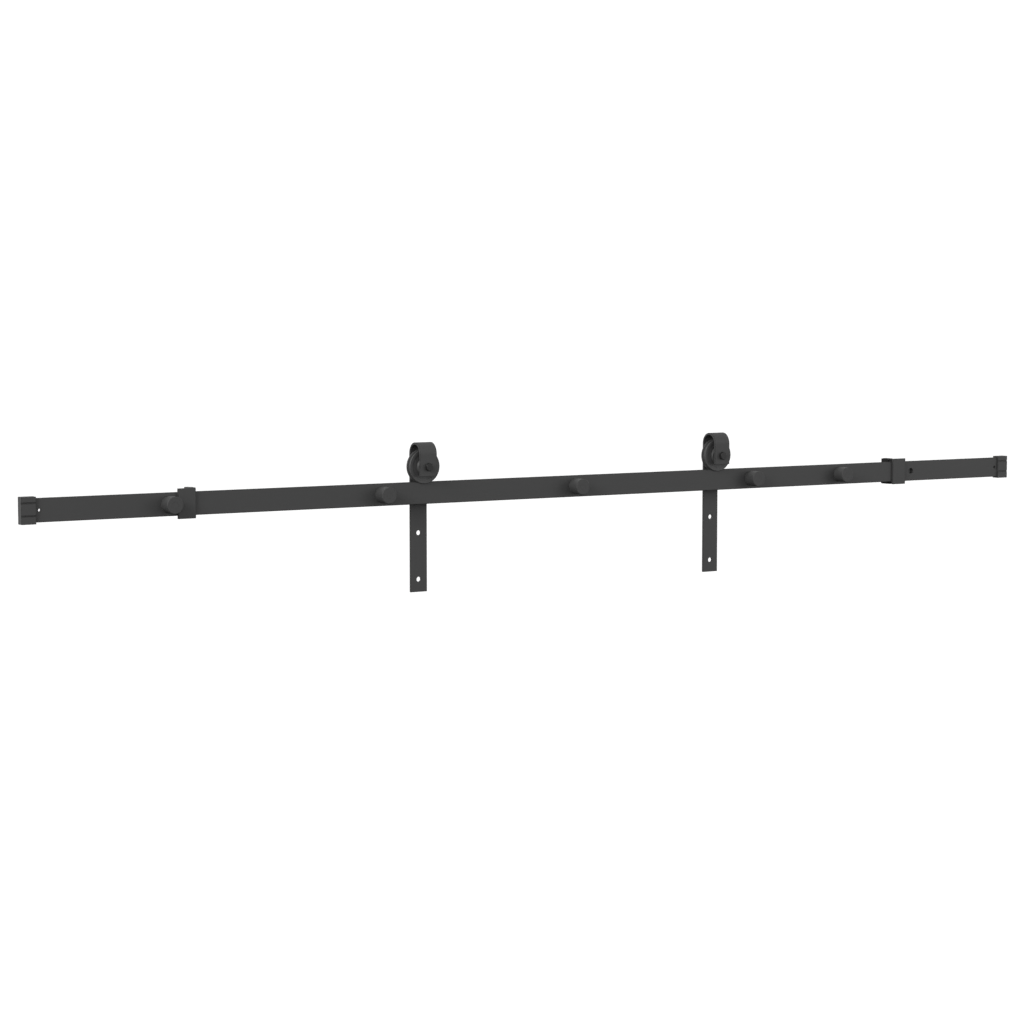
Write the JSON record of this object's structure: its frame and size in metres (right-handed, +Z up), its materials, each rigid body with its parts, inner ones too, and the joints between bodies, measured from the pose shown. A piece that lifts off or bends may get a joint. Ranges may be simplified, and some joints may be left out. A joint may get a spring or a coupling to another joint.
{
  "type": "sliding barn door hardware",
  "caption": "Flat rail on wall spacers with end stops and door stops, carrying two strap hangers whose grooved wheels roll along its top edge.",
  "frame": {"origin": "centre of the middle spacer's wall face", "axes": "+X along the rail, +Y from the wall into the room, +Z up"},
  "size_m": [1.61, 0.046, 0.2032],
  "materials": {
    "powder_coat": "matt fine-texture dark grey powder coat on steel",
    "roller_coat": "satin dark grey coat on turned steel",
    "black_oxide": "satin black oxide on steel",
    "bearing_steel": "ground bearing steel",
    "rubber": "matt black rubber",
    "nylon": "matt black nylon"
  },
  "bodies": {
    "track": {"door_stop_block_left": "powder_coat", "door_stop_block_right": "powder_coat", "door_stop_bumper_left": "rubber", "door_stop_bumper_right": "rubber", "door_stop_plate_left": "powder_coat", "door_stop_plate_right": "powder_coat", "door_stop_screws_left": "black_oxide", "door_stop_screws_right": "black_oxide", "end_stop_cap_left": "powder_coat", "end_stop_cap_right": "powder_coat", "end_stop_pad_left": "rubber", "end_stop_pad_right": "rubber", "end_stop_screw_left": "black_oxide", "end_stop_screw_right": "black_oxide", "hole_plug": "nylon", "rail_bar": "powder_coat", "rail_bolt_1": "powder_coat", "rail_bolt_2": "powder_coat", "rail_bolt_3": "powder_coat", "rail_bolt_4": "powder_coat", "rail_bolt_5": "powder_coat", "rail_washers": "powder_coat", "wall_spacer_1": "powder_coat", "wall_spacer_2": "powder_coat", "wall_spacer_3": "powder_coat", "wall_spacer_4": "powder_coat", "wall_spacer_5": "powder_coat"},
    "left_carriage": {"bearing_inner_ring_left": "bearing_steel", "wall_collar_left": "black_oxide", "room_collar_left": "black_oxide"},
    "left_roller": {"wheel_left": "roller_coat", "retaining_ring_left": "bearing_steel", "bearing_outer_ring_left": "bearing_steel", "bearing_balls_left": "bearing_steel", "bearing_shields_left": "bearing_steel"},
    "left_hanger": {"strap_left": "powder_coat", "axle_bolt_left": "black_oxide", "axle_washer_left": "black_oxide", "axle_nut_left": "black_oxide"},
    "right_carriage": {"bearing_inner_ring_right": "bearing_steel", "wall_collar_right": "black_oxide", "room_collar_right": "black_oxide"},
    "right_roller": {"wheel_right": "roller_coat", "retaining_ring_right": "bearing_steel", "bearing_outer_ring_right": "bearing_steel", "bearing_balls_right": "bearing_steel", "bearing_shields_right": "bearing_steel"},
    "right_hanger": {"strap_right": "powder_coat", "axle_bolt_right": "black_oxide", "axle_washer_right": "black_oxide", "axle_nut_right": "black_oxide"}
  },
  "joints": [
    {"name": "left_slide", "type": "slide", "parent": "track", "child": "left_carriage", "axis": [1, 0, 0], "range_m": [-0.3126, 0.2118]},
    {"name": "left_roll", "type": "hinge", "parent": "left_carriage", "child": "left_roller", "pos_m": [-0.2418, 0.0225, 0.03555], "axis": [0, 1, 0], "continuous": true},
    {"name": "left_sway", "type": "hinge", "parent": "left_carriage", "child": "left_hanger", "pos_m": [-0.2418, 0.0225, 0.03555], "axis": [0, 1, 0], "range_deg": [-4, 4]},
    {"name": "right_slide", "type": "slide", "parent": "track", "child": "right_carriage", "axis": [1, 0, 0], "range_m": [-0.2137, 0.3082]},
    {"name": "right_roll", "type": "hinge", "parent": "right_carriage", "child": "right_roller", "pos_m": [0.2437, 0.0225, 0.03555], "axis": [0, 1, 0], "continuous": true},
    {"name": "right_sway", "type": "hinge", "parent": "right_carriage", "child": "right_hanger", "pos_m": [0.2437, 0.0225, 0.03555], "axis": [0, 1, 0], "range_deg": [-4, 4]}
  ],
  "couplings": [
    {"joint": "left_roll", "follows": "left_slide", "rad_per_m": 48.781},
    {"joint": "right_roll", "follows": "right_slide", "rad_per_m": 48.781}
  ]
}
